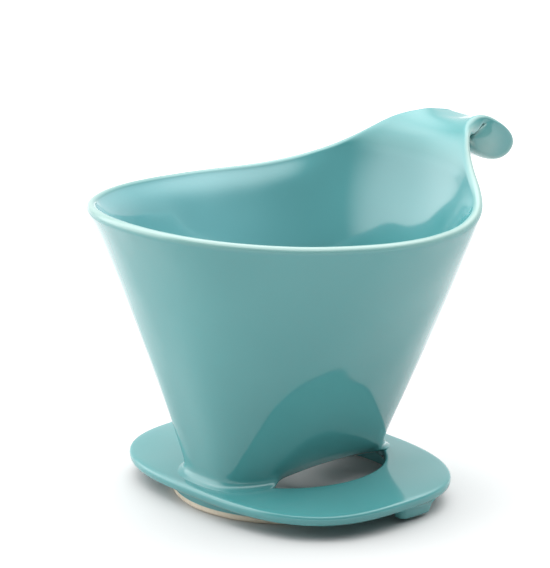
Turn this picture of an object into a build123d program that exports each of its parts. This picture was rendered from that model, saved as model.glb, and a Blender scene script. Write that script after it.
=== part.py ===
from build123d import *
import os
from math import cos, pi, sin

# Pour over coffee dripper in one glazed ceramic body, standing on its foot ring.
# Millimetres. +Z up, +X towards the thumb tab, Z = 0 on the ground face of the foot ring,
# and the Z axis runs through the middle of the foot ring.

# ---------------------------------------------------------------- driving dimensions
FOOT_RADIUS = 37.2          # outside of the foot ring, which drops into a cup's mouth
FOOT_WALL = 4.2             # radial thickness of the foot ring
FOOT_EDGE = 0.6             # rounding of the foot ring's lower edges

FLANGE_CENTRE = -1.0        # X of the middle of the saucer-like flange
FLANGE_HALF_X = 40.0        # half its width, along X
FLANGE_HALF_Y = 53.0        # half its length, along Y
FLANGE_SQUARENESS = 2.7     # superellipse exponent of the flange's outline
FLANGE_TOP = 10.4           # height of the flange's upper face at the middle
FLANGE_THICKNESS = 4.0
FLANGE_DROOP = 1.6          # how far the flange's long ends hang below its middle
FLANGE_EDGE = 1.3           # rounding of the flange's outer edge
WINDOW_RADIUS = 29.3        # round opening that the cone's foot bridges

FLOOR_UNDERSIDE = 9.0       # bottom of the cone, let into the flange a little
FLOOR_THICKNESS = 5.2
ARCH_RISE = 2.2             # the underside arches up by this much between the windows
ARCH_HALF_X = 21.0          # half the arch's span
DRAIN_RADIUS = 2.5
DRAIN_SPACING = 18.0        # between the centres of the two drain holes

FOOT_LEFT = -35.2           # ends of the cone's oval foot, along X
FOOT_RIGHT = 30.4
FOOT_HALF_Y = 18.0
MOUTH_LEFT = -63.2          # the same three sizes at the height MOUTH_Z
MOUTH_RIGHT = 57.0
MOUTH_HALF_Y = 58.5
MOUTH_Z = 96.0
FOOT_CENTRE = -2.5          # X of the widest line of the foot and of the mouth
MOUTH_CENTRE = 8.0
FOOT_SQUARENESS = 3.2       # a squarish foot opens to a near-ellipse
MOUTH_SQUARENESS = 2.12
FLARE_LEFT = 2.0            # the end away from the tab is hollow by this much at mid height
SWELL_RIGHT = 0.9           # and the tab's end stands out by this much
WALL = 3.6                  # thickness of the cone's wall and of the tab
CONE_TOP_Z = 112.0          # height to which the wall is drawn before the rim is cut

RIM_LOW_X = 22.0            # the rim's lowest point
RIM_LOW_Z = 89.4
RIM_FRONT_RISE = 6.5        # rise of the rim over RIM_FRONT_SPAN, away from the tab
RIM_FRONT_SPAN = 84.5
RIM_FRONT_POWER = 1.3
RIM_TAB_RISE = 0.56         # rise of the rim over RIM_TAB_SPAN, towards the tab
RIM_TAB_SPAN = 10.0
RIM_TAB_POWER = 2.7         # how fast that rise steepens
RIM_START_X = -80.0         # the rim line is drawn between these two X, in this many steps
RIM_END_X = 57.5
RIM_STEPS = 16

TAB_BASE_Z = 101.0          # where the rim's wall becomes the tab
TAB_HALF_WIDTH = 11.6       # half the width of the tab at its roll
ROLL_X = 75.2               # middle of the roll
ROLL_Z = 101.2
ROLL_HALF_LENGTH = 9.9      # half axes of the roll's oval section
ROLL_HALF_DEPTH = 7.2
ROLL_TILT = -28.0           # degrees: the roll droops outwards
ROLL_ROUNDING = 2.6         # rounding of the roll's two ends

RIB_COUNT = 5               # ribs on each broad inner face, which hold the paper off the wall
RIB_PITCH = 9.0
RIB_WIDTH = 2.0
RIB_HEIGHT = 1.6
RIB_TOP_Z = 46.0            # upper end of the middle rib
RIB_STEP_Z = 4.0            # each rib outwards ends this much lower

LUG_X = 7.5                 # cup lugs: pads under the flange, just outside the cup's mouth
LUG_Y = 47.6
LUG_LENGTH = 13.5
LUG_WIDTH = 5.6
LUG_BOTTOM = 1.0
LUG_ROUNDING = 1.4

SECTION_POINTS = 32         # points in one closed spline section
SECTION_STEPS = 5           # sections between the foot and the top of the wall
SPAN = 300.0                # size of the cutting blocks


# ---------------------------------------------------------------- shape formulas
def superellipse_point(angle, left, right, half_y, centre, squareness):
    """A point on an outline whose two ends may reach differently far from its widest line."""
    power = 2 / squareness
    reach = right - centre if cos(angle) > 0 else centre - left
    sign_x = 1 if cos(angle) > 0 else -1
    sign_y = 1 if sin(angle) > 0 else -1
    x = centre + sign_x * reach * abs(cos(angle)) ** power
    y = sign_y * half_y * abs(sin(angle)) ** power
    return x, y


def cone_section(z, inset=0.0):
    """Left end, right end, half width, centre and exponent of the cone's outline at a height."""
    share = (z - FLANGE_TOP) / (MOUTH_Z - FLANGE_TOP)
    swell = 4 * share * (1 - share)
    left = FOOT_LEFT + (MOUTH_LEFT - FOOT_LEFT) * share + FLARE_LEFT * swell
    right = FOOT_RIGHT + (MOUTH_RIGHT - FOOT_RIGHT) * share + SWELL_RIGHT * swell
    half_y = FOOT_HALF_Y + (MOUTH_HALF_Y - FOOT_HALF_Y) * share
    centre = FOOT_CENTRE + (MOUTH_CENTRE - FOOT_CENTRE) * share
    squareness = FOOT_SQUARENESS + (MOUTH_SQUARENESS - FOOT_SQUARENESS) * min(share, 1)
    return left + inset, right - inset, half_y - inset, centre, squareness


def outline_face(z, left, right, half_y, centre, squareness):
    """A closed superellipse outline as a flat face at a height."""
    angles = [2 * pi * (i + 0.5) / SECTION_POINTS for i in range(SECTION_POINTS)]
    points = [superellipse_point(a, left, right, half_y, centre, squareness) for a in angles]
    curve = Spline([(x, y, z) for x, y in points], periodic=True)
    return make_face(Wire([curve]))


def cone_core(inset):
    """The solid inside the cone's wall at an inset: a straight foot under a flaring body."""
    step = (CONE_TOP_Z - FLANGE_TOP) / SECTION_STEPS
    heights = [FLANGE_TOP + step * i for i in range(SECTION_STEPS + 1)]
    body = loft([outline_face(z, *cone_section(z, inset)) for z in heights])
    foot_face = outline_face(FLOOR_UNDERSIDE, *cone_section(FLANGE_TOP, inset))
    foot = extrude(foot_face, FLANGE_TOP - FLOOR_UNDERSIDE, dir=(0, 0, 1))
    return body + foot


def rim_height(x):
    """Height of the rim over X: a gentle dip, then a steepening rise to the tab."""
    if x < RIM_LOW_X:
        return RIM_LOW_Z + RIM_FRONT_RISE * ((RIM_LOW_X - x) / RIM_FRONT_SPAN) ** RIM_FRONT_POWER
    return RIM_LOW_Z + RIM_TAB_RISE * ((x - RIM_LOW_X) / RIM_TAB_SPAN) ** RIM_TAB_POWER


def above_rim():
    """Everything above the rim line, as a block cut straight across along Y."""
    step = (RIM_END_X - RIM_START_X) / RIM_STEPS
    stations = [RIM_START_X + step * i for i in range(RIM_STEPS + 1)]
    line = [(x, 0, rim_height(x)) for x in stations]
    end = (SPAN, 0, line[-1][2])
    border = Polyline(line[-1], end, (SPAN, 0, SPAN), (RIM_START_X, 0, SPAN), line[0])
    face = make_face(Wire([*Spline(line).edges(), *border.edges()]))
    return extrude(face, SPAN, both=True, dir=(0, 1, 0))


def flange_ball(depth):
    """A huge ball whose top dips by FLANGE_DROOP out at the flange's long ends."""
    radius = FLANGE_HALF_Y ** 2 / (2 * FLANGE_DROOP)
    return Pos(FLANGE_CENTRE, 0, FLANGE_TOP - radius) * Sphere(radius - depth)


def window_arch():
    """A cylinder lying along Y, which lifts the cone's underside between the windows."""
    radius = (ARCH_HALF_X ** 2 + ARCH_RISE ** 2) / (2 * ARCH_RISE)
    return Pos(0, 0, FLOOR_UNDERSIDE + ARCH_RISE - radius) * Rot(90, 0, 0) * Cylinder(radius, SPAN)


# ---------------------------------------------------------------- the clay members
def filter_cone():
    """The flaring oval wall that holds the paper filter, up to its rim and the tab's root."""
    wall = cone_core(0.0) - cone_core(WALL) - above_rim() - window_arch()
    return split(wall, Plane.XY.offset(TAB_BASE_Z), keep=Keep.BOTTOM)


def thumb_tab():
    """The tongue that rises out of the rim's shoulder and rolls over outwards."""
    stations = [                    # inner face of the tongue: X, Z, half width, bow of its edges
        (54.2, 97.0, 28.8, 6.8),
        (55.4, 101.2, 24.2, 4.6),
        (57.6, 104.2, 20.4, 2.8),
        (60.6, 106.7, 16.6, 1.2),
        (64.6, 108.3, 13.4, 0.3),
        (69.0, 108.9, TAB_HALF_WIDTH, 0.0),
        (73.4, 108.6, TAB_HALF_WIDTH, 0.0),
    ]
    across = [-1, -0.67, -0.33, 0, 0.33, 0.67, 1]
    grid = [[Vector(x - bow * v * v, half * v, z) for v in across] for x, z, half, bow in stations]
    tongue = thicken(Face.make_surface_from_array_of_points(grid), -WALL)
    tongue = split(tongue, Plane.XY.offset(TAB_BASE_Z), keep=Keep.TOP)
    oval = Ellipse(ROLL_HALF_LENGTH, ROLL_HALF_DEPTH)
    roll_face = Plane.XZ * Pos(ROLL_X, ROLL_Z) * Rot(0, 0, ROLL_TILT) * oval
    roll = extrude(roll_face, TAB_HALF_WIDTH, both=True)
    roll = fillet(roll.edges(), ROLL_ROUNDING)
    return tongue + roll


def drip_floor():
    """The floor of the cone, which fills its foot and has the drain holes through it."""
    top = Plane.XY.offset(FLOOR_UNDERSIDE + FLOOR_THICKNESS)
    floor = split(cone_core(WALL), top, keep=Keep.BOTTOM) - window_arch()
    for side in (-1, 1):
        hole_x = FOOT_CENTRE + side * DRAIN_SPACING / 2
        floor -= Pos(hole_x, 0, FLOOR_UNDERSIDE) * Cylinder(DRAIN_RADIUS, 4 * FLOOR_THICKNESS)
    return floor


def inner_half_y(x, z):
    """Y of the cone's inner face at a point over X and Z."""
    left, right, half_y, centre, squareness = cone_section(z, WALL)
    reach = right - centre if x > centre else centre - left
    return half_y * (1 - (abs(x - centre) / reach) ** squareness) ** (1 / squareness)


def filter_rib_blades():
    """Upright blades along the broad inner face at +Y, each fading towards its upper end."""
    bottom_z = FLOOR_UNDERSIDE + FLOOR_THICKNESS
    for number in range(RIB_COUNT):
        step = number - (RIB_COUNT - 1) / 2
        x = FOOT_CENTRE + step * RIB_PITCH
        top_z = RIB_TOP_Z - RIB_STEP_Z * abs(step)
        low_y = inner_half_y(x, bottom_z)
        top_y = inner_half_y(x, top_z)
        profile = Polyline(
            (0, low_y - RIB_HEIGHT, bottom_z),
            (0, top_y - RIB_HEIGHT / 2, top_z),
            (0, top_y + WALL / 2, top_z),
            (0, low_y + WALL / 2, bottom_z),
            close=True,
        )
        blade = extrude(make_face(profile), RIB_WIDTH / 2, both=True, dir=(1, 0, 0))
        yield number + 1, Pos(x, 0, 0) * blade


def base_flange(foot):
    """The shallow dished plate around the cone's foot, open in two windows beside it."""
    left, right = FLANGE_CENTRE - FLANGE_HALF_X, FLANGE_CENTRE + FLANGE_HALF_X
    outline = outline_face(0, left, right, FLANGE_HALF_Y, FLANGE_CENTRE, FLANGE_SQUARENESS)
    plate = extrude(outline, 2 * FLANGE_TOP, dir=(0, 0, 1))
    plate = (plate & flange_ball(0)) - flange_ball(FLANGE_THICKNESS)
    plate = fillet(plate.edges(), FLANGE_EDGE)
    plate -= Cylinder(WINDOW_RADIUS, 4 * FLANGE_TOP)
    return plate - foot


def foot_ring():
    """The ring that the dripper stands on, under the flange."""
    ring = Cylinder(FOOT_RADIUS, 2 * FLANGE_TOP) - Cylinder(FOOT_RADIUS - FOOT_WALL, 2 * FLANGE_TOP)
    ring = Pos(0, 0, FLANGE_TOP) * ring
    ring = fillet(ring.edges().group_by(Axis.Z)[0], FOOT_EDGE)
    return ring & flange_ball(FLANGE_THICKNESS)


def cup_lug(side):
    """A pad under one long end of the flange, which keeps the dripper from sliding off a cup."""
    pad = extrude(SlotOverall(LUG_LENGTH, LUG_WIDTH), FLANGE_TOP)
    pad = fillet(pad.edges().group_by(Axis.Z)[0], LUG_ROUNDING)
    return (Pos(LUG_X, side * LUG_Y, LUG_BOTTOM) * pad) & flange_ball(FLANGE_THICKNESS)


# ---------------------------------------------------------------- one STEP file per member
def save(name, shape):
    solids = shape.solids()
    export_step(Compound(list(solids)), f"parts/{name}.step")
    print(name, len(solids), "solid", round(sum(s.volume for s in solids)), "mm3")


os.makedirs("parts", exist_ok=True)
cone = filter_cone()
foot_outline = outline_face(FLOOR_UNDERSIDE, *cone_section(FLANGE_TOP))
foot_prism = extrude(foot_outline, FLANGE_TOP, dir=(0, 0, 1))
save("filter_cone", cone)
save("thumb_tab", thumb_tab())
save("drip_floor", drip_floor())
save("base_flange", base_flange(foot_prism))
save("foot_ring", foot_ring())
for name, side in (("front", -1), ("back", 1)):
    save(f"cup_lug_{name}", cup_lug(side))
for number, blade in filter_rib_blades():
    save(f"filter_rib_back_{number}", blade - cone)
    save(f"filter_rib_front_{number}", mirror(blade, about=Plane.XZ) - cone)
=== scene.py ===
from math import cos, exp, hypot, pi, radians, sin, sqrt

import bpy
import numpy as np
from mathutils import Matrix, Vector


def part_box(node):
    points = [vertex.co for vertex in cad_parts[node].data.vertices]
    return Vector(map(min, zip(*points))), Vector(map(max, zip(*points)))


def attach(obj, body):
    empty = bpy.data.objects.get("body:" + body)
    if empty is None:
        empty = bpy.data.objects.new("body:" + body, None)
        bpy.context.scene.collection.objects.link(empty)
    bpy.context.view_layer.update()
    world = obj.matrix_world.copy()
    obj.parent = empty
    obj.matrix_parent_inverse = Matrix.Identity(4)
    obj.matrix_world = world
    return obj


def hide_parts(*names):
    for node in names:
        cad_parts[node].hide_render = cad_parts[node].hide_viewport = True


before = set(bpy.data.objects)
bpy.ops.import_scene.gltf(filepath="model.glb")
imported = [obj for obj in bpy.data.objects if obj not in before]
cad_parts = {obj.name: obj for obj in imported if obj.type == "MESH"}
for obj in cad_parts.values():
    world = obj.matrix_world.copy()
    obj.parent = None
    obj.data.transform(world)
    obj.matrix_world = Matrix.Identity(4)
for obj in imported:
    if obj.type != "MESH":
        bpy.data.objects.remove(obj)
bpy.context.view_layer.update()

MM = 0.001                      # the shapes below are worked out in millimetres

# ---------------------------------------------------------------- driving sizes, as in the CAD source
WALL = 3.6
FLANGE_TOP, FLANGE_THICKNESS = 10.4, 4.0
FLANGE_HALF_X, FLANGE_HALF_Y, FLANGE_SQUARENESS = 40.0, 53.0, 2.7
DROOP_X, DROOP_Y = 1.6, 1.6     # how far the flange's edge hangs below its middle
WINDOW_RADIUS = 29.3
FLANGE_CENTRE = -1.0
FOOT_RADIUS, FOOT_WALL = 37.2, 4.2
MOUTH_Z = 96.0
FOOT_END = {"left": -35.2, "right": 30.4, "half_y": 18.0, "centre": -2.5, "power": 3.2}
MOUTH_END = {"left": -62.6, "right": 57.0, "half_y": 58.5, "centre": 8.0, "power": 2.12}
FLARE_LEFT, SWELL_RIGHT = 2.0, 0.9


# ---------------------------------------------------------------- shape formulas
def smooth(edge0, edge1, x):
    """0 up to edge0, 1 from edge1, and a smooth rise between them."""
    t = min(max((x - edge0) / (edge1 - edge0), 0.0), 1.0)
    return t * t * (3 - 2 * t)


def hump(distance, reach):
    """1 at no distance, fading to nothing beyond about twice the reach."""
    return exp(-(distance / reach) ** 2)


def unit(vectors):
    """The vectors scaled to a length of 1."""
    return vectors / np.linalg.norm(vectors, axis=-1, keepdims=True)


def superellipse(angle, power):
    """The point in the direction angle of a superellipse with half axes of 1."""
    c, s = cos(angle), sin(angle)
    spread = (abs(c) ** power + abs(s) ** power) ** (-1 / power)
    return c * spread, s * spread


def cone_section(z, inset=0.0):
    """Both ends in X, the half width in Y, the centre and the power of the cone's outline at height z."""
    share = (z - FLANGE_TOP) / (MOUTH_Z - FLANGE_TOP)
    swell = 4 * share * (1 - share)
    mix = {k: FOOT_END[k] + (MOUTH_END[k] - FOOT_END[k]) * share for k in FOOT_END}
    left = mix["left"] + FLARE_LEFT * swell + inset
    right = mix["right"] + SWELL_RIGHT * swell - inset
    power = mix["power"] if share < 1 else MOUTH_END["power"]
    return left, right, mix["half_y"] - inset, mix["centre"], power


def wall_point(angle, z, inset=0.0):
    """A point of the cone's wall in the direction angle, at height z, inset from its outer face."""
    left, right, half_y, centre, power = cone_section(max(z, FLANGE_TOP), inset)
    x, y = superellipse(angle, power)
    reach = right - centre if x > 0 else centre - left
    return np.array([centre + reach * x, half_y * y, z])


def wall_angle(point):
    """The direction angle of a point in the middle of the wall."""
    left, right, half_y, centre, _ = cone_section(point[2], WALL / 2)
    reach = right - centre if point[0] > centre else centre - left
    return np.arctan2(point[1] / half_y, (point[0] - centre) / reach)


def inner_y(x, z):
    """Half the width of the cone's inside at x and height z."""
    left, right, half_y, centre, power = cone_section(z, WALL)
    reach = right - centre if x > centre else centre - left
    return half_y * (1 - (abs(x - centre) / reach) ** power) ** (1 / power)


def flange_top(x, y):
    """Height of the flange's drooping upper face."""
    droop = DROOP_X * ((x - FLANGE_CENTRE) / FLANGE_HALF_X) ** 2 + DROOP_Y * (y / FLANGE_HALF_Y) ** 2
    return FLANGE_TOP - droop


def through(points, count):
    """count points spaced evenly along a smooth line through the given points."""
    pts = np.array(points, float)
    ext = np.vstack([2 * pts[0] - pts[1], pts, 2 * pts[-1] - pts[-2]])
    fine = []
    for k in range(1, len(ext) - 2):
        p0, p1, p2, p3 = ext[k - 1:k + 3]
        for t in np.linspace(0, 1, 24, endpoint=False):
            fine.append(0.5 * (2 * p1 + (p2 - p0) * t + (2 * p0 - 5 * p1 + 4 * p2 - p3) * t * t
                               + (3 * p1 - p0 - 3 * p2 + p3) * t ** 3))
    fine = np.array(fine + [pts[-1]])
    length = np.concatenate([[0], np.cumsum(np.linalg.norm(np.diff(fine, axis=0), axis=1))])
    want = np.linspace(0, length[-1], count)
    return np.stack([np.interp(want, length, fine[:, k]) for k in range(fine.shape[1])], axis=1)


# ---------------------------------------------------------------- mesh helpers
def make_piece(name, verts, faces, material, level=2):
    """A smooth subdivided piece that rides on the one body, from a cage in millimetres."""
    mesh = bpy.data.meshes.new(name)
    mesh.from_pydata([tuple(np.asarray(v, float) * MM) for v in verts], [], faces)
    mesh.validate()
    mesh.polygons.foreach_set("use_smooth", [True] * len(mesh.polygons))
    mesh.update()
    mesh.materials.append(material)
    obj = bpy.data.objects.new(name, mesh)
    bpy.context.scene.collection.objects.link(obj)
    rounding = obj.modifiers.new("rounding", "SUBSURF")
    rounding.levels = rounding.render_levels = level
    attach(obj, "root")
    return obj


def ring_mesh(rings, closed=True):
    """Quads between rings of points; the last ring joins the first when closed."""
    count, total = len(rings[0]), len(rings)
    verts = [p for ring in rings for p in ring]
    faces = []
    for a in range(total if closed else total - 1):
        b = (a + 1) % total
        for j in range(count):
            k = (j + 1) % count
            faces.append((a * count + j, a * count + k, b * count + k, b * count + j))
    return verts, faces


def capped_mesh(rings):
    """Quads between rings of points, with a flat face over either end."""
    verts, faces = ring_mesh(rings, closed=False)
    count = len(rings[0])
    faces.append(tuple(reversed(range(count))))
    faces.append(tuple(range(len(verts) - count, len(verts))))
    return verts, faces


def turned(faces):
    """The same faces looking the other way."""
    return [face[::-1] for face in faces]


# ---------------------------------------------------------------- glaze and clay
class NodeSheet:
    """The nodes of a material or of the world, with short ways to add one."""

    def __init__(self, owner):
        owner.use_nodes = True
        self.nodes, self.links = owner.node_tree.nodes, owner.node_tree.links
        self.where = self.nodes.new("ShaderNodeTexCoord")

    def put(self, node, socket, value):
        """Link another node's output to the socket, or set it to a plain value."""
        if isinstance(value, bpy.types.NodeSocket):
            self.links.new(value, node.inputs[socket])
        else:
            node.inputs[socket].default_value = value

    def add(self, kind, inputs, **settings):
        """A new node with its settings set and its inputs linked or set."""
        node = self.nodes.new(kind)
        for setting, value in settings.items():
            setattr(node, setting, value)
        for socket, value in inputs.items():
            self.put(node, socket, value)
        return node

    def noise(self, scale, detail=2.0):
        inputs = {"Vector": self.where.outputs["Object"], "Scale": scale, "Detail": detail}
        return self.add("ShaderNodeTexNoise", inputs).outputs["Fac"]

    def ramp(self, share, low, high, low_at=0.0, high_at=1.0):
        node = self.add("ShaderNodeValToRGB", {"Fac": share})
        ends = node.color_ramp.elements
        ends[0].position, ends[0].color = low_at, low
        ends[1].position, ends[1].color = high_at, high
        return node.outputs["Color"]

    def mix(self, share, first, second):
        inputs = {"Factor": share, 6: first, 7: second}         # sockets 6 and 7 are the two colours
        return self.add("ShaderNodeMix", inputs, data_type="RGBA").outputs[2]

    def bump(self, height, strength, distance, **under):
        inputs = {"Height": height, "Strength": strength, "Distance": distance, **under}
        return self.add("ShaderNodeBump", inputs).outputs["Normal"]

    def remap(self, value, from_low, from_high, low=0.0, high=1.0, **settings):
        inputs = {"Value": value, "From Min": from_low, "From Max": from_high, "To Min": low, "To Max": high}
        return self.add("ShaderNodeMapRange", inputs, **settings).outputs["Result"]

    def number(self, operation, first, second):
        return self.add("ShaderNodeMath", {0: first, 1: second}, operation=operation).outputs["Value"]

    def vector(self, operation, output, *inputs):
        node = self.add("ShaderNodeVectorMath", dict(enumerate(inputs)), operation=operation)
        return node.outputs[output]


GLAZE_DEEP, GLAZE_PALE = (0.066, 0.262, 0.268, 1), (0.076, 0.284, 0.290, 1)
GLAZE_MARKS = {                 # colours painted where a piece is marked with these point attributes: glaze tones, and painted light
    "inside": (0.140, 0.370, 0.395, 1),         # paler and bluer on the wall's inner face, more so higher up: painted light on the upper inner face
    "thin_glaze_and_painted_light": (0.250, 0.390, 0.362, 1),           # where the glaze runs thinner over the lip and edges, and a painted light lobe on the roll's end
}
GLAZE_ROUGHNESS, GLAZE_IOR = 0.09, 1.62
CLOUD_SCALE, RIPPLE_SCALE, SWELL_SCALE = 18.0, 60.0, 26.0       # of the glaze's noise, per metre
CLAY_DARK, CLAY_PALE = (0.62, 0.53, 0.40, 1), (0.78, 0.70, 0.57, 1)
CLAY_ROUGHNESS, CLAY_GRAIN = 0.85, 900.0
CLAY_BELOW = 2.1                # the glaze on the foot ring's outer face ends at this height
GLAZE_LINE_BLUR = 0.15
INNER_GLAZE = (0.3, 0.6)        # the glaze on its inner face ends between these depths into the ring


def glaze_material(name):
    """Glossy teal glaze, slightly cloudy and uneven. Returns the material, its sheet and its colour."""
    mat = bpy.data.materials.new(name)
    sheet = NodeSheet(mat)
    colour = sheet.ramp(sheet.noise(CLOUD_SCALE), GLAZE_DEEP, GLAZE_PALE, low_at=0.3, high_at=0.7)
    # mixes in the marked colours: thinner glaze on lip and edges, and painted light on the inner face and on
    # the roll's end
    for mark, marked_colour in GLAZE_MARKS.items():
        share = sheet.add("ShaderNodeAttribute", {}, attribute_name=mark).outputs["Fac"]
        colour = sheet.mix(share, colour, marked_colour)
    ripple = sheet.bump(sheet.noise(RIPPLE_SCALE, detail=1.0), strength=0.06, distance=0.001)
    uneven = sheet.bump(sheet.noise(SWELL_SCALE, detail=1.0), strength=0.5, distance=0.004, Normal=ripple)
    shader = sheet.nodes["Principled BSDF"]
    sheet.put(shader, "Base Color", colour)
    sheet.put(shader, "Normal", uneven)
    sheet.put(shader, "Roughness", GLAZE_ROUGHNESS)
    sheet.put(shader, "IOR", GLAZE_IOR)
    return mat, sheet, colour


def foot_material(name):
    """The glaze, with bare clay on the part of the foot ring that was wiped to stand in the kiln."""
    mat, sheet, glaze_colour = glaze_material(name)
    where = sheet.where.outputs["Object"]
    height = sheet.add("ShaderNodeSeparateXYZ", {"Vector": where}).outputs["Z"]
    above = sheet.remap(height, (CLAY_BELOW - GLAZE_LINE_BLUR) * MM, (CLAY_BELOW + GLAZE_LINE_BLUR) * MM)
    from_axis = sheet.vector("LENGTH", "Value", sheet.vector("MULTIPLY", "Vector", where, (1.0, 1.0, 0.0)))
    inner_face = (FOOT_RADIUS - FOOT_WALL) * MM
    within = sheet.remap(from_axis, inner_face + INNER_GLAZE[1] * MM, inner_face + INNER_GLAZE[0] * MM)
    glazed = sheet.number("MAXIMUM", above, within)
    clay = sheet.ramp(sheet.noise(CLAY_GRAIN), CLAY_DARK, CLAY_PALE)
    shader = sheet.nodes["Principled BSDF"]
    sheet.put(shader, "Base Color", sheet.mix(glazed, clay, glaze_colour))
    sheet.put(shader, "Roughness", sheet.remap(glazed, 0.0, 1.0, CLAY_ROUGHNESS, GLAZE_ROUGHNESS))
    return mat


glaze = glaze_material("teal_glaze")[0]
foot_glaze = foot_material("teal_glaze_over_bare_foot")


# ------------------------------------------------------- the wall and its rolled tab, one clay sheet
TAB_COLUMNS = 14                # squares across the tab
SIDE_COLUMNS = 31               # and along the rim from the tab to the far end
TAB_ROWS, ROLL_ROWS = 9, 17     # squares up the tab and round its roll
LIP_STEPS = 12                  # squares round the edge between the sheet's two faces
SHEET = 3.3                     # thickness of the wall at its lip, square to its face
THICKER_BELOW = 1.65            # the wall is this much thicker below the bevel inside the lip
THICKER_FROM = (0.25, 0.6)      # shares of the wall's height over which the extra thickness sets in
BEVEL = (1.0, 7.5)              # depths below the rim between which the bevel lies
SLOPE, SLOPE_COLUMNS = (0.6, 1.0), (-1, 4)      # instead of it a long slope under the tab: shares, columns
WALL_LOW = 20.0                 # the wall's rows start at this height and go up in these shares
WALL_SHARES = [0.0, 0.11, 0.23, 0.35, 0.47, 0.59, 0.71, 0.81, 0.89, 0.935, 0.968, 1.0]
TO_RIM = 6                      # the wall leaves the cone for the rim's line as this power of the share
PALER_FROM = (0.2, 0.6)         # the painted light on the inner face, a paler colour, sets in over these shares of the height
PALER_LOSS, PALER_LOST = 0.7, (0, 52)           # and less so towards the tab, between these places in X

TAB_SHEET, TAB_EDGE_SHEET = 2.9, 2.2    # thickness of the tab's middle and of its edges
TAB_THINS, EDGE_THICKENS = (0, 0.6), (0.65, 1.0)        # shares of the way up the tongue
FOLD_FILL, FILL_FROM = 1.8, (0.65, 0.95)        # the ends of the fold are filled in from below
FOLD_HUMP, HUMP_PLACE = 1.2, (0.88, 0.07)       # most of all here: place and reach

# half of the rim and of the tab's edge, in the middle of the sheet, then the tab's middle line in X and Z
RIM = [(-64.3, 0, 96.0), (-63.5, 9, 95.9), (-61.0, 18, 95.6), (-56.9, 26, 95.1), (-51.3, 33.3, 94.5),
       (-43.1, 40.2, 93.6), (-34, 46, 92.7), (-23.4, 50.3, 91.8), (-11.5, 53.2, 90.8), (-2, 54.2, 90.1),
       (8, 54.1, 89.6), (18.8, 52.1, 89.35), (25.5, 50, 89.4), (32.3, 46.9, 90.0), (38.8, 42.9, 91.3),
       (43.4, 38.1, 93.3), (46.8, 33.3, 95.6)]
TAB_EDGE = [(46.8, 33.3, 95.6), (49.5, 28.9, 98.0), (52.2, 24.9, 100.5), (55.1, 21.1, 103.2),
            (58.9, 17.3, 105.9), (62.2, 14.6, 107.2), (65.4, 12.7, 107.9), (68.8, 11.8, 108.1)]
TAB_MIDDLE = [(55.2, 95.6), (56.6, 99.4), (58.4, 102.4), (61.3, 104.8), (65.0, 106.3), (69.1, 106.8)]

# the roll's outside from the crest round to its tip, and the fold line that the sheet closes on, in X and Z
ROLL_OUTLINE = [(71.8, 108.4), (76.6, 107.0), (81.6, 103.9), (85.2, 99.8), (85.0, 96.3), (81.6, 94.0),
                (77.6, 93.5), (73.0, 94.6), (68.8, 96.6), (65.8, 98.9), (64.4, 101.4)]
CREASE = [(70.4, 105.3), (71.3, 105.4), (70.0, 105.0), (68.4, 104.6), (67.0, 104.0), (65.9, 103.4),
          (64.9, 102.8)]
ROLL_HALF = 11.8                # half of the roll's width
CREASE_LIFT = 0.2               # the fold line rises by this much towards its ends
CREST_X = 71.5
CREST_TWIST, TWIST_REACH = 0.07, 5.0    # the crest's near end stands a little higher
CREST_SAG, SAG_REACH = 1.4, 6.0         # and its middle sags
CREST_FADES = (101.0, 105.0)            # both fade away down the roll's outside between these heights

ARCH_FOOT, ARCH_RISE, ARCH_HALF = 9.0, 2.2, 21.0        # the cone's underside over the windows
CONE_BOTTOM = 7.8               # the wall's lowest point, buried in the flange
FILLET = 3.2                    # between the wall and the flange
CORNER_LEFT, CORNER_RIGHT = (25.6, 28.8), (26.2, 30.0)  # radii between which window turns into flange

# rows of the foot from below: over a window, how far each is tucked in and lifted
OVER_WINDOW = [(3.3, 0.0), (2.3, 0.10), (1.45, 0.42), (0.8, 1.0), (0.36, 1.8), (0.1, 2.8), (0.0, 3.9),
               (0.0, 4.8), (0.0, 5.8)]
# over the flange, how far each stands out, whether it follows the flange's top, and its height
OVER_FLANGE = [(0, 0, CONE_BOTTOM), (0, 0, CONE_BOTTOM + 0.3)]
OVER_FLANGE += [(out * FILLET, 1, up * FILLET) for out, up in (
    (0.3, -0.35), (1.18, -0.16), (0.86, 0.03), (0.50, 0.17), (0.235, 0.42), (0.07, 0.78), (0.0, 1.25))]
# on the inner face, the extra thickness, how much of the lowest edge's shape each follows, and its height
INSIDE_FOOT = [(0.3, 1, 0.0), (0.3, 1, 1.0), (1.2, 0.5, 6.65), (3.0, 0, 13.3), (2.3, 0, 14.3),
               (1.25, 0, 14.75), (0.55, 0, 15.5), (0.15, 0, 16.6), (0.0, 0, 18.0)]


def window_arch(x):
    """Height of the cone's lowest edge over the windows: a shallow arch."""
    return ARCH_FOOT + ARCH_RISE * max(0.0, 1 - (x / ARCH_HALF) ** 2)


def foot_columns(angle):
    """Points up the foot's outer and inner face: a fillet on the flange, a rounded edge over the windows."""
    base = wall_point(angle, FLANGE_TOP)
    ahead = unit(wall_point(angle + 0.01, FLANGE_TOP) - wall_point(angle - 0.01, FLANGE_TOP))
    out = np.array([ahead[1], -ahead[0], 0.0])
    corner = CORNER_LEFT if base[0] < 0 else CORNER_RIGHT
    on = smooth(*corner, hypot(base[0], base[1]))          # 1 over the flange, 0 over a window
    bottom = on * CONE_BOTTOM + (1 - on) * window_arch(base[0])
    outer, inner = [], []
    for (tuck, lift), (reach, follows, height), (extra, share, inner_height) in zip(
            OVER_WINDOW, OVER_FLANGE, INSIDE_FOOT):
        toe = base + out * reach
        z = on * (follows * flange_top(toe[0], toe[1]) + height) + (1 - on) * (window_arch(base[0]) + lift)
        outer.append(wall_point(angle, z) + out * (on * reach - (1 - on) * tuck))
        inner.append(wall_point(angle, share * bottom + inner_height, WALL + extra))
    return outer, inner


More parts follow.
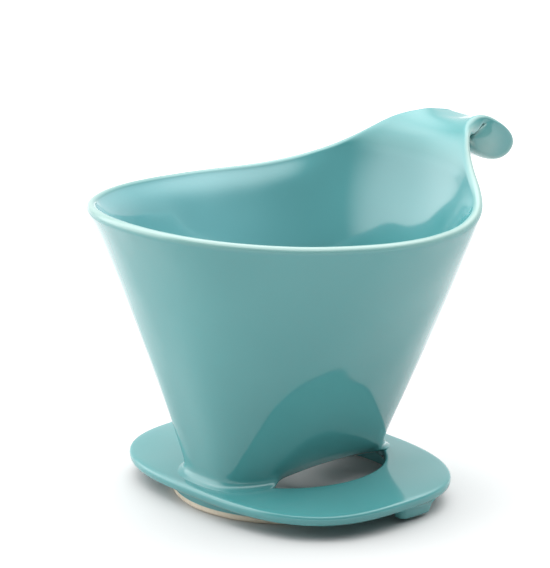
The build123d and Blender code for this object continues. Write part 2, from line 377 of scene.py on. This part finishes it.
def rim_tops():
    """The top of the middle of the wall, from the tab's middle round by +Y to the far end and back by -Y."""
    half = TAB_COLUMNS // 2
    (middle_x, middle_z), (edge_x, edge_y, _) = TAB_MIDDLE[0], TAB_EDGE[0]
    tops = []
    for k in range(half):
        v = k / half
        tops.append([middle_x + (edge_x - middle_x) * v * v, edge_y * v, middle_z])
    tops += [list(p) for p in through(RIM, SIDE_COLUMNS + 1)[::-1]]
    tops += [[x, -y, z] for x, y, z in tops[1:-1]][::-1]
    return np.array(tops)


def crest_shift(x, y):
    """How far the crest of the tab is moved up or down at a point over X and Y."""
    share = min(abs(y) / ROLL_HALF, 1.0)
    twist = -CREST_TWIST * y * hump(x - CREST_X, TWIST_REACH)
    return twist - CREST_SAG * (1 - share ** 2) * hump(x - CREST_X, SAG_REACH)


class ClaySheet:
    """The cage of the wall and tab. Both faces hold a point for each row and column; rows go up from the
    foot over the rim and round the roll, and columns go round the cone, starting in the tab's middle."""

    def __init__(self):
        self.verts, self.faces = [], []
        self.marks = {mark: [] for mark in GLAZE_MARKS}
        self.inner, self.outer = {}, {}
        self.tops = rim_tops()
        self.count = len(self.tops)
        self.left_edge, self.right_edge = TAB_COLUMNS // 2, self.count - TAB_COLUMNS // 2
        self.tab = list(range(self.right_edge, self.count)) + list(range(self.left_edge + 1))
        self.across = np.linspace(-1, 1, TAB_COLUMNS + 1)
        self.wall_start = len(OVER_WINDOW)
        self.tongue_start = self.wall_start + len(WALL_SHARES)
        self.roll_start = self.tongue_start + TAB_ROWS
        self.last = self.roll_start + ROLL_ROWS - 1
        angles = [wall_angle(top) for top in self.tops]
        self.add_foot(angles)
        wall = self.add_wall(angles)
        self.add_tongue(wall)
        self.add_roll()
        self.join_rows()
        self.round_edge()

    def add(self, point, inside=0.0, thin_glaze_and_painted_light=0.0):
        """Keep a point and its marks. Returns its number."""
        self.verts.append(np.array(point, float))
        self.marks["inside"].append(inside)
        self.marks["thin_glaze_and_painted_light"].append(thin_glaze_and_painted_light)
        return len(self.verts) - 1

    def add_foot(self, angles):
        """Both faces of the foot, from its lowest edge up to where the wall's rows start."""
        outer, inner = zip(*[foot_columns(a) for a in angles])
        for i in range(len(OVER_WINDOW)):
            for j in range(self.count):
                self.inner[i, j] = self.add(inner[j][i])
                self.outer[i, j] = self.add(outer[j][i])

    def add_wall(self, angles):
        """Both faces of the wall. Returns the rows of its middle."""
        middle = []
        for share in WALL_SHARES:
            row = []
            for top, a in zip(self.tops, angles):
                z = WALL_LOW + (top[2] - WALL_LOW) * share
                fix = top - wall_point(a, top[2], WALL / 2)
                row.append(wall_point(a, z, WALL / 2) + fix * share ** TO_RIM)
            middle.append(row)
        middle = np.array(middle)
        round_way = np.roll(middle, -1, axis=1) - np.roll(middle, 1, axis=1)
        inwards = unit(np.cross(np.gradient(middle, axis=0), round_way))
        if inwards[0, 0, 0] > 0:
            inwards = -inwards
        for i, share in enumerate(WALL_SHARES):
            for j in range(self.count):
                point = middle[i, j]
                # painted light: the inner face is painted paler towards its top
                painted_light_share = smooth(*PALER_FROM, share) * (1 - PALER_LOSS * smooth(*PALER_LOST, point[0]))
                bevel = smooth(*BEVEL, (1 - share) * (self.tops[j][2] - WALL_LOW))
                slope = 1 - smooth(*SLOPE, share)
                from_tab = smooth(*SLOPE_COLUMNS, min(j - self.left_edge, self.right_edge - j))
                extra = THICKER_BELOW * smooth(*THICKER_FROM, share)
                extra *= from_tab * bevel + (1 - from_tab) * slope
                level = self.wall_start + i
                self.inner[level, j] = self.add(point + inwards[i, j] * (SHEET / 2 + extra), inside=painted_light_share)
                self.outer[level, j] = self.add(point - inwards[i, j] * SHEET / 2)
        return middle

    def add_tongue(self, wall):
        """The dished tongue that carries the wall's last rows on up to the crest."""
        rows = [wall[-2, self.tab], wall[-1, self.tab]]
        middle, edge = through(TAB_MIDDLE, TAB_ROWS + 1), through(TAB_EDGE, TAB_ROWS + 1)
        for (x, z), (edge_x, edge_y, edge_z) in zip(middle[1:], edge[1:]):
            rows.append([[x + (edge_x - x) * v * v, edge_y * v, z + (edge_z - z) * v * v]
                         for v in self.across])
        rows = np.array(rows)
        inwards = unit(np.cross(np.gradient(rows, axis=0), np.gradient(rows, axis=1)))
        if inwards[2, TAB_COLUMNS // 2, 0] > 0:
            inwards = -inwards
        for k in range(TAB_ROWS):
            along = (k + 1) / TAB_ROWS
            for c, j in enumerate(self.tab):
                outer_columns = self.across[c] ** 4
                at_edge = outer_columns * (1 - smooth(*EDGE_THICKENS, along))
                thinnest = TAB_SHEET + (TAB_EDGE_SHEET - TAB_SHEET) * at_edge
                thick = SHEET + (thinnest - SHEET) * smooth(*TAB_THINS, along)
                most = FOLD_HUMP * hump(along - HUMP_PLACE[0], HUMP_PLACE[1])
                filled = outer_columns * (FOLD_FILL * smooth(*FILL_FROM, along) + most)
                for face, shift in ((self.inner, thick / 2), (self.outer, -thick / 2 - filled)):
                    point = rows[k + 2, c] + inwards[k + 2, c] * shift
                    point[2] += crest_shift(point[0], point[1])
                    face[self.tongue_start + k, j] = self.add(point)

    def add_roll(self):
        """The roll: its outside comes round from the crest to the tip, over a fold line inside it."""
        outline, crease = through(ROLL_OUTLINE, ROLL_ROWS), through(CREASE, ROLL_ROWS)
        for k, ((x, z), (fold_x, fold_z)) in enumerate(zip(outline, crease)):
            on_top = smooth(*CREST_FADES, z)
            for v, j in zip(self.across, self.tab):
                y = ROLL_HALF * v
                self.inner[self.roll_start + k, j] = self.add([x, y, z + on_top * crest_shift(x, y)])
                lift = CREASE_LIFT * v ** 2 + crest_shift(fold_x, y)
                self.outer[self.roll_start + k, j] = self.add([fold_x, y, fold_z + lift])

    def join_rows(self):
        """Quads of both faces, and of the bottom edge between them."""
        inner, outer = self.inner, self.outer
        whole_ring = [(j, (j + 1) % self.count) for j in range(self.count)]
        for i in range(self.last):
            for j, k in whole_ring if i < self.tongue_start - 1 else zip(self.tab, self.tab[1:]):
                self.faces.append((outer[i, j], outer[i, k], outer[i + 1, k], outer[i + 1, j]))
                self.faces.append((inner[i, j], inner[i + 1, j], inner[i + 1, k], inner[i, k]))
        for j, k in whole_ring:
            self.faces.append((outer[0, j], inner[0, j], inner[0, k], outer[0, k]))

    def flat_share(self, key, length):
        """0 where the edge between the faces is a round lip, 1 where it is the flat end of the roll."""
        row, column = key
        past_crest = row - self.roll_start
        if row == self.last and column not in (self.left_edge, self.right_edge):
            return 0.0                                     # the roll's tip
        if past_crest >= 0:
            return max(smooth(*FLAT_LENGTH, length), 1 - smooth(*FLAT_AFTER, past_crest))
        return smooth(*FLAT_BEFORE, past_crest)

    def round_edge(self):
        """The rounded edge all the way round rim, tab and tip."""
        loop = [(self.tongue_start - 1, j) for j in range(self.left_edge, self.right_edge + 1)]
        loop += [(i, self.right_edge) for i in range(self.tongue_start, self.last + 1)]
        loop += [(self.last, j) for j in self.tab[1:-1]]
        loop += [(i, self.left_edge) for i in range(self.last, self.tongue_start - 1, -1)]
        inner_edge = np.array([self.verts[self.inner[key]] for key in loop])
        outer_edge = np.array([self.verts[self.outer[key]] for key in loop])
        middle = (inner_edge + outer_edge) / 2
        over = unit(outer_edge - inner_edge)
        lengths = np.linalg.norm(outer_edge - inner_edge, axis=1)
        outwards = unit(np.cross(unit(np.roll(middle, -1, axis=0) - np.roll(middle, 1, axis=0)), over))
        if outwards[len(loop) // 4][2] < 0:
            outwards = -outwards
        lines = []
        for key, edge, length, across, out in zip(loop, inner_edge, lengths, over, outwards):
            flat = self.flat_share(key, length)
            inner_round = length / 2 * (1 - flat) + min(INNER_SHARE * length, INNER_MOST) * flat
            outer_round = length / 2 * (1 - flat) + min(OUTER_SHARE * length, OUTER_MOST) * flat
            rounding = (inner_round, outer_round)
            start, end = self.verts[self.inner[key]], self.verts[self.outer[key]]
            start -= out * inner_round                     # both faces stop short by the rounding
            end -= out * outer_round
            line = [self.inner[key]]
            for s in range(1, LIP_STEPS):
                angle = pi * s / LIP_STEPS
                point = (start + end) / 2 + (start - end) / 2 * cos(angle)
                point = point + out * sin(angle) * (inner_round + outer_round) / 2
                if flat > 0:
                    end_face = end_face_point(s, start, end, edge, length, across, out, *rounding)
                    point = point * (1 - flat) + end_face * flat
                # thinner glaze over the lip; on the roll's end, thinner glaze on its edges plus a painted
                # light lobe
                thin_glaze_and_painted_light = sin(angle) ** 2 * (1 - flat) + end_face_glaze_and_painted_light(s, point) * flat
                line.append(self.add(point, thin_glaze_and_painted_light=thin_glaze_and_painted_light))
            lines.append(line + [self.outer[key]])
        for line, after in zip(lines, lines[1:] + lines[:1]):
            for s in range(LIP_STEPS):
                self.faces.append((line[s], line[s + 1], after[s + 1], after[s]))


# the roll's end is flat between rounded edges: points on a rounded edge, and steps in its quarter turn
CORNER_STEPS, CORNER_SPAN = 2, 2.7
FLAT_LENGTH = (3.4, 6.5)        # round where the sheet's faces are nearer than this, flat where farther
FLAT_BEFORE, FLAT_AFTER = (-5, 0), (4, 7)       # rows past the crest where it turns flat and round again
INNER_SHARE, INNER_MOST = 0.35, 2.0     # its inner rounded edge: share of the end's length, and at most
OUTER_SHARE, OUTER_MOST = 0.3, 0.9      # and its outer one
BULGE, BULGE_X, BULGE_Z = 1.3, (71.0, 6.0), (101.0, 4.6)        # a swelling: place and reach
PAINTED_LIGHT_LOBE, PAINTED_LIGHT_LOBE_X, PAINTED_LIGHT_LOBE_Z = 0.45, (71.0, 6.0), (99.0, 6.0)           # and a painted light lobe: a lighter patch on the roll's end where light falls
CORNER_THIN = 0.5               # how thin the glaze is on its rounded edges


def hump_over(point, reach_x, reach_z):
    """hump() in X times hump() in Z, each given as (place, reach)."""
    return hump(point[0] - reach_x[0], reach_x[1]) * hump(point[2] - reach_z[0], reach_z[1])


def end_face_point(s, start, end, edge, length, across, out, inner_round, outer_round):
    """Point s of LIP_STEPS over the roll's flat end: a rounded edge, a straight stretch, a rounded edge."""
    if s <= CORNER_STEPS:
        turn = pi / 2 * s / CORNER_SPAN
        point = start + across * inner_round * (1 - cos(turn)) + out * inner_round * sin(turn)
    elif s >= LIP_STEPS - CORNER_STEPS:
        turn = pi / 2 * (LIP_STEPS - s) / CORNER_SPAN
        point = end - across * outer_round * (1 - cos(turn)) + out * outer_round * sin(turn)
    else:
        share = (s - CORNER_SPAN) / (LIP_STEPS - 2 * CORNER_SPAN)
        point = edge + across * (inner_round + (length - inner_round - outer_round) * share)
    swelling = BULGE * hump_over(point, BULGE_X, BULGE_Z) * smooth(0, 3, s) * smooth(*FLAT_LENGTH, length)
    return point + out * swelling


def end_face_glaze_and_painted_light(s, point):
    """How much lighter the roll's flat end is painted: thinner glaze on its rounded edges, and a painted
    light lobe.
    """
    on_corner = s <= CORNER_STEPS or s >= LIP_STEPS - CORNER_STEPS
    return max(CORNER_THIN if on_corner else 0.0, PAINTED_LIGHT_LOBE * hump_over(point, PAINTED_LIGHT_LOBE_X, PAINTED_LIGHT_LOBE_Z))


clay = ClaySheet()
cone = make_piece("cone_wall_and_tab", clay.verts, clay.faces, glaze)
for mark, values in clay.marks.items():
    cone.data.attributes.new(mark, "FLOAT", "POINT").data.foreach_set("value", values)
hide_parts("filter_cone", "thumb_tab")


# ---------------------------------------------------------------- the flange, open in the middle
RING_POINTS = 72                # points round the flange and the foot ring
EDGE_ROUNDING, HOLE_ROUNDING = 1.55, 1.3

# the flange's section: share of the way out from the window, depth below its top (below its underside in
# the second list) and pull back from either edge in roundings
FLANGE_UPPER = [(0, 1.0, 0.12), (0, 0.28, 0.42), (0, 0.0, 1.3), (0.25, 0, 0), (0.5, 0, 0), (0.75, 0, 0),
                (1, 0.0, 1.1), (1, 0.2, 0.32), (1, 0.8, 0.02), (1, 2.0, 0.0), (1, 3.4, 0.4)]
FLANGE_UNDER = [(1, 0, 1.6), (0.75, 0, 0), (0.5, 0, 0), (0.25, 0, 0), (0, 0, 1.3), (0, -0.3, 0.4),
                (0, -1.0, 0.1)]


def flange_ring(share, depth, back):
    """A ring of points; share is 0 at the window and 1 at the outer edge."""
    ring = []
    for j in range(RING_POINTS):
        angle = 2 * pi * (j + 0.5) / RING_POINTS
        x, y = superellipse(angle, FLANGE_SQUARENESS)
        edge = np.array([FLANGE_HALF_X * x + FLANGE_CENTRE, FLANGE_HALF_Y * y])
        window = WINDOW_RADIUS * np.array([cos(angle), sin(angle)])
        if share > 0.5:
            edge = edge - EDGE_ROUNDING * back * unit(edge)
        else:
            window = window + HOLE_ROUNDING * back * unit(window)
        x, y = window * (1 - share) + edge * share
        ring.append(np.array([x, y, flange_top(x, y) - depth]))
    return ring


section = FLANGE_UPPER + [(share, FLANGE_THICKNESS + depth, back) for share, depth, back in FLANGE_UNDER]
verts, faces = ring_mesh([flange_ring(*place) for place in section])
flange = make_piece("flange_plate", verts, turned(faces), glaze)
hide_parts("base_flange")


# ---------------------------------------------------------------- the foot ring, bare clay where it stands
# the ring's section: distance in from its outer face, and height
FOOT_SECTION = [(0, 7.6), (0, 6.0), (0, 3.0), (0, 1.2), (0.25, 0.3), (1.0, 0.0), (2.1, 0.0), (3.2, 0.0),
                (3.95, 0.3), (FOOT_WALL, 1.2), (FOOT_WALL, 4.0), (FOOT_WALL, 7.6)]


def foot_circle(inwards, z):
    """A level ring of points, this far in from the foot ring's outer face."""
    turns = [2 * pi * j / RING_POINTS for j in range(RING_POINTS)]
    return [np.array([(FOOT_RADIUS - inwards) * cos(a), (FOOT_RADIUS - inwards) * sin(a), z]) for a in turns]


verts, faces = ring_mesh([foot_circle(*place) for place in FOOT_SECTION])
foot = make_piece("foot_ring_turned", verts, turned(faces), foot_glaze)
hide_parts("foot_ring")


# ---------------------------------------------------------------- lugs, rounded below
PAD_POINTS = 20                 # round a lug
PAD_BURIED = 0.6                # a lug goes this far up into the flange
PAD_LOWER = [(0.0, 1.6), (0.12, 0.5), (0.42, 0.06), (0.75, 0.0)]    # shrink and height, rounded below
PAD_UPPER = [(-0.55, 0.0), (-0.35, -0.5), (-0.08, -1.6)]            # shrink and depth, flared at the top


def build_pad(length, width, height, centre):
    """A stadium pad that stands on centre, flared at its top and rounded below."""
    section = [(shrink, height + below) for shrink, below in PAD_UPPER] + PAD_LOWER
    straight, radius = (length - width) / 2, width / 2
    rings = []
    for shrink, z in section:
        row = []
        for j in range(PAD_POINTS):
            a = 2 * pi * (j + 0.5) / PAD_POINTS
            x = (straight if cos(a) > 0 else -straight) * (1 - shrink * 0.5) + radius * (1 - shrink) * cos(a)
            row.append(np.array([centre[0] + x, centre[1] + radius * (1 - shrink) * sin(a), centre[2] + z]))
        rings.append(row)
    return capped_mesh(rings)


for node in ("cup_lug_front", "cup_lug_back"):
    low_corner, high_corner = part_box(node)
    length, width, height = (high_corner - low_corner) / MM
    centre_x, centre_y, _ = (high_corner + low_corner) / 2 / MM
    place = (centre_x, centre_y, low_corner[2] / MM)
    verts, faces = build_pad(length, width, height + PAD_BURIED, place)
    pad = make_piece(node + "_pad", verts, turned(faces), glaze)
    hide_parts(node)


# ---------------------------------------------------------------- ribs that hold the paper off the wall
RIB_WIDTH, RIB_HEIGHT = 2.2, 1.65
RIB_STATIONS, RIB_POINTS = 12, 10
RIB_BURIED, RIB_TAIL = 0.5, 3.0         # it starts below the floor's top and tails off above the CAD's rib
RIB_FADES = (0.35, 1.0)                 # shares of its length over which it dies away
RIB_ROOT, ROOT_SINKS = 0.25, 0.5        # its middle line lies this deep in the wall, and sinks as it fades


def build_rib(x, side, low_z, top_z):
    """A rounded ridge up the cone's inner face, dying away at its top."""
    rings = []
    for i in range(RIB_STATIONS):
        t = i / (RIB_STATIONS - 1)
        z = low_z + (top_z - low_z) * t
        fade = sqrt(max(0.0, 1 - smooth(*RIB_FADES, t) ** 1.3)) * 0.97 + 0.03
        half_width = RIB_WIDTH / 2 * (0.4 + 0.6 * fade)
        height = RIB_HEIGHT * fade
        root = inner_y(x, z) + RIB_ROOT + (1 - fade) * ROOT_SINKS
        ring = []
        for j in range(RIB_POINTS):
            a = 2 * pi * j / RIB_POINTS
            ring.append(np.array([x + cos(a) * half_width, side * (root - height * sin(a)), z]))
        rings.append(ring)
    return capped_mesh(rings)


for node in sorted(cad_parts):
    if not node.startswith("filter_rib_"):
        continue
    low_corner, high_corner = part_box(node)
    side = 1 if low_corner[1] > 0 else -1
    middle_x = (low_corner[0] + high_corner[0]) / 2 / MM
    verts, faces = build_rib(middle_x, side, low_corner[2] / MM - RIB_BURIED, high_corner[2] / MM + RIB_TAIL)
    rib = make_piece(node + "_ridge", verts, faces if side < 0 else turned(faces), glaze, level=1)
    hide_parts(node)

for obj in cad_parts.values():             # the CAD's own drip floor is shown
    if not obj.hide_render:
        obj.data.materials.clear()
        obj.data.materials.append(glaze)


# ---------------------------------------------------------------- floor
FLOOR_REACH = 60.0              # metres
FLOOR_GREY, FLOOR_ROUGHNESS = 0.61, 0.7


def floor_material():
    mat = bpy.data.materials.new("floor_white")
    mat.use_nodes = True
    shader = mat.node_tree.nodes["Principled BSDF"]
    shader.inputs["Base Color"].default_value = (FLOOR_GREY, FLOOR_GREY, FLOOR_GREY, 1)
    shader.inputs["Roughness"].default_value = FLOOR_ROUGHNESS
    return mat


corners = [(-FLOOR_REACH, -FLOOR_REACH, 0), (FLOOR_REACH, -FLOOR_REACH, 0), (FLOOR_REACH, FLOOR_REACH, 0),
           (-FLOOR_REACH, FLOOR_REACH, 0)]
floor_mesh = bpy.data.meshes.new("floor")
floor_mesh.from_pydata(corners, [], [(0, 1, 2, 3)])
floor_mesh.materials.append(floor_material())
floor = bpy.data.objects.new("floor", floor_mesh)
bpy.context.scene.collection.objects.link(floor)


# ---------------------------------------------------------------- light
BEHIND = (0.55, 0.83, 0.0)      # directions in which the studio is bright
OVERHEAD = (0.12, 0.0, 0.99)
ON_THE_LEFT = (-0.60, 0.73, 0.33)


def studio_world():
    """A white studio, bright behind and dim in front, with one soft box overhead and one on the left."""
    world = bpy.data.worlds.new("studio")
    sheet = NodeSheet(world)

    def glow(direction, from_dot, to_dot, low, high):
        """Radiance that grows smoothly from low to high as a direction nears the given one."""
        towards = Vector(direction).normalized()
        dot = sheet.vector("DOT_PRODUCT", "Value", sheet.where.outputs["Generated"], towards)
        return sheet.remap(dot, from_dot, to_dot, low, high, interpolation_type="SMOOTHSTEP")

    walls = glow(BEHIND, -0.2, 0.6, 0.20, 1.0)
    overhead_box = glow(OVERHEAD, 0.50, 0.92, 0.0, 3.25)
    left_box = glow(ON_THE_LEFT, 0.70, 0.95, 0.0, 2.7)
    total = sheet.number("ADD", sheet.number("ADD", walls, overhead_box), left_box)
    background = sheet.nodes["Background"]
    sheet.put(background, "Strength", total)
    sheet.put(background, "Color", (1.0, 1.0, 1.0, 1))
    return world


bpy.context.scene.world = studio_world()


# ---------------------------------------------------------------- camera
AZIMUTH, ELEVATION, ROLL = radians(40.68), radians(16.33), radians(-0.28)
DISTANCE = 1.01543
AIM_HEIGHT, AIM_LEFT, AIM_UP = 0.048, 0.00471, 0.01654      # the object is a little off the picture's middle
LENS, SENSOR = 208.3, 36

back = Vector((-sin(AZIMUTH) * cos(ELEVATION), -cos(AZIMUTH) * cos(ELEVATION), sin(ELEVATION)))
level_right = Vector((cos(AZIMUTH), -sin(AZIMUTH), 0))
level_up = back.cross(level_right)
right = level_right * cos(ROLL) + level_up * sin(ROLL)
up = level_up * cos(ROLL) - level_right * sin(ROLL)
aim = Vector((0, 0, AIM_HEIGHT)) - right * AIM_LEFT + up * AIM_UP
camera_data = bpy.data.cameras.new("camera")
camera_data.lens = LENS
camera_data.sensor_width = SENSOR
camera = bpy.data.objects.new("camera", camera_data)
axes = Matrix((right, up, back)).transposed()
camera.matrix_world = Matrix.Translation(aim + back * DISTANCE) @ axes.to_4x4()
bpy.context.scene.collection.objects.link(camera)
bpy.context.scene.camera = camera
bpy.context.scene.view_settings.view_transform = "Standard"
